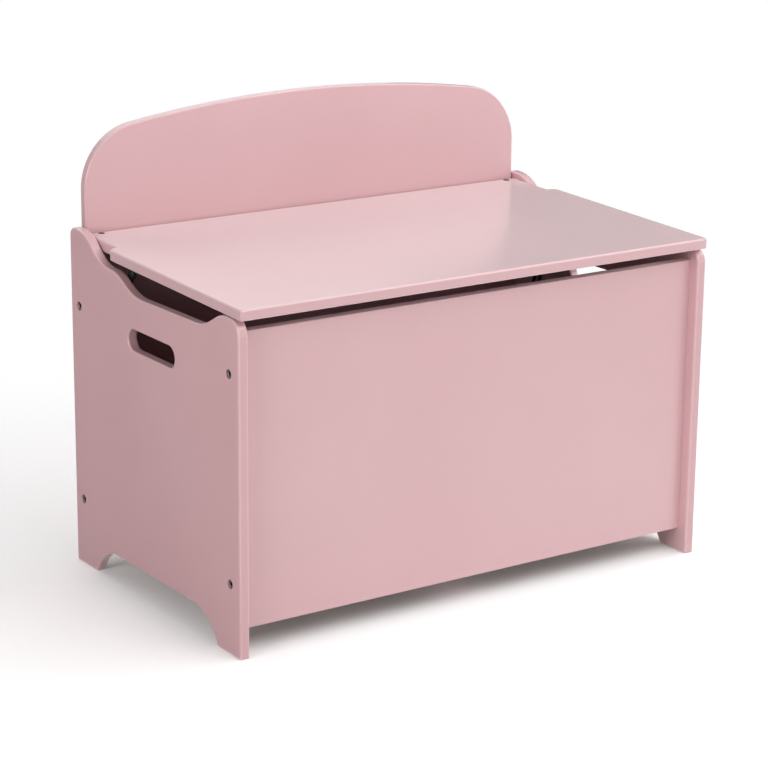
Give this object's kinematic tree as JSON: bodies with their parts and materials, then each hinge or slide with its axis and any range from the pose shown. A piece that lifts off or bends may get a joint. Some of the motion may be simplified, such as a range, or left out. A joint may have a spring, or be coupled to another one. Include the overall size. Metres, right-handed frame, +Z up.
{
  "type": "toy box",
  "caption": "Low wooden toy box with hand holes, arched feet, an arched backrest and a hinged lid that two slotted stays hold open.",
  "frame": {"origin": "centre of the overall footprint at floor level", "axes": "+X along the width to the right seen from the front, the front faces -Y, +Z up"},
  "size_m": [0.768, 0.4571, 0.6505],
  "materials": {
    "painted_mdf": "satin pink paint on MDF",
    "floor_hardboard": "satin pink paint on hardboard",
    "beech_dowel": "fluted beech",
    "clear_bumper": "soft clear pad",
    "nylon": "natural nylon",
    "zinc_plated_steel": "bright zinc plate",
    "black_steel": "black e-coat on steel"
  },
  "bodies": {
    "box": {"left_side_panel": "painted_mdf", "right_side_panel": "painted_mdf", "front_panel": "painted_mdf", "back_panel": "painted_mdf", "floor_board": "floor_hardboard", "floor_rail": "painted_mdf", "backrest": "painted_mdf", "front_panel_barrel_nuts": "zinc_plated_steel", "back_panel_barrel_nuts": "zinc_plated_steel", "front_panel_dowels": "beech_dowel", "back_panel_dowels": "beech_dowel", "rail_dowels": "beech_dowel", "floor_screws": "zinc_plated_steel", "backrest_screws": "zinc_plated_steel", "lid_bumpers": "clear_bumper", "left_panel_bolts": "zinc_plated_steel", "left_bolt_washers": "zinc_plated_steel", "left_pivot_bushing": "nylon", "left_stay_side_plate": "black_steel", "left_stay_side_screws": "black_steel", "left_stay_stud": "black_steel", "left_stay_friction_washers": "nylon", "left_stay_spring_washer": "black_steel", "left_stay_locknut": "black_steel", "right_panel_bolts": "zinc_plated_steel", "right_bolt_washers": "zinc_plated_steel", "right_pivot_bushing": "nylon", "right_stay_side_plate": "black_steel", "right_stay_side_screws": "black_steel", "right_stay_stud": "black_steel", "right_stay_friction_washers": "nylon", "right_stay_spring_washer": "black_steel", "right_stay_locknut": "black_steel"},
    "lid": {"lid": "painted_mdf", "lid_barrel_nuts": "zinc_plated_steel", "left_pivot_pin": "zinc_plated_steel", "left_stay_lid_bracket": "black_steel", "left_stay_bracket_screws": "black_steel", "left_stay_rivet": "black_steel", "right_pivot_pin": "zinc_plated_steel", "right_stay_lid_bracket": "black_steel", "right_stay_bracket_screws": "black_steel", "right_stay_rivet": "black_steel"},
    "left_stay_arm": {"left_stay_arm": "black_steel"},
    "right_stay_arm": {"right_stay_arm": "black_steel"}
  },
  "joints": [
    {"name": "lid_hinge", "type": "hinge", "parent": "box", "child": "lid", "pos_m": [0, 0.20154, 0.47277], "axis": [-1, 0, 0], "range_deg": [0, 91.5]},
    {"name": "left_stay_pivot", "type": "hinge", "parent": "lid", "child": "left_stay_arm", "pos_m": [-0.3649, 0.08589, 0.44931], "axis": [-1, 0, 0], "range_deg": [-46, 0]},
    {"name": "right_stay_pivot", "type": "hinge", "parent": "lid", "child": "right_stay_arm", "pos_m": [0.3649, 0.08589, 0.44931], "axis": [-1, 0, 0], "range_deg": [-46, 0]}
  ],
  "couplings": [
    {"joint": "left_stay_pivot", "follows": "lid_hinge", "ratio": -0.5},
    {"joint": "right_stay_pivot", "follows": "lid_hinge", "ratio": -0.5}
  ]
}
